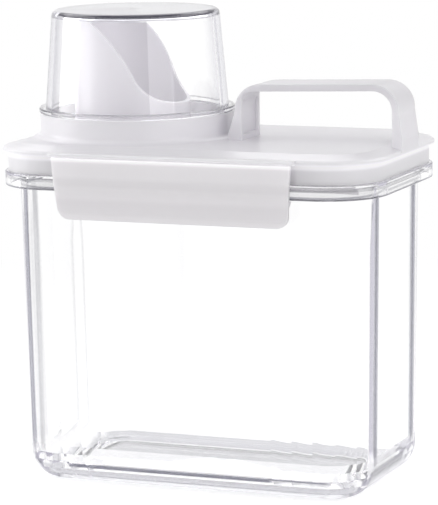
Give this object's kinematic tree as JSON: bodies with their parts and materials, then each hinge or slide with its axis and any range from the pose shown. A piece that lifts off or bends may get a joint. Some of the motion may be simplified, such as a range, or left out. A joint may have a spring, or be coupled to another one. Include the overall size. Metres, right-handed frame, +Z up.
{
  "type": "laundry detergent dispenser",
  "caption": "Clear upright jar with fluted inner walls, a white clip-on lid with carrying strap and pouring spout, and a clear measuring cup over the spout.",
  "frame": {"origin": "on the ground at the middle of the jar's base", "axes": "+Z up, +X along the jar's long side towards the carrying strap, -Y the front, where the first latch is"},
  "size_m": [0.178, 0.113, 0.2068],
  "materials": {
    "clear_plastic": "clear moulded polystyrene, polished",
    "white_plastic": "satin white polypropylene",
    "latch_plastic": "satin warm white polypropylene",
    "silicone": "translucent white silicone"
  },
  "bodies": {
    "dispenser": {"container": "clear_plastic", "lid": "white_plastic", "lid_gasket": "silicone", "pour_spout": "white_plastic"},
    "cup": {"measuring_cup": "clear_plastic"},
    "front_flap": {"front_latch": "latch_plastic"},
    "back_flap": {"back_latch": "latch_plastic"}
  },
  "joints": [
    {"name": "cup_lift", "type": "slide", "parent": "dispenser", "child": "cup", "axis": [0, 0, 1], "range_m": [0, 0.06]},
    {"name": "front_latch_swing", "type": "hinge", "parent": "dispenser", "child": "front_flap", "pos_m": [0, -0.0556, 0.146], "axis": [-1, 0, 0], "range_deg": [0, 105]},
    {"name": "back_latch_swing", "type": "hinge", "parent": "dispenser", "child": "back_flap", "pos_m": [0, 0.0556, 0.146], "axis": [1, 0, 0], "range_deg": [0, 105]}
  ]
}
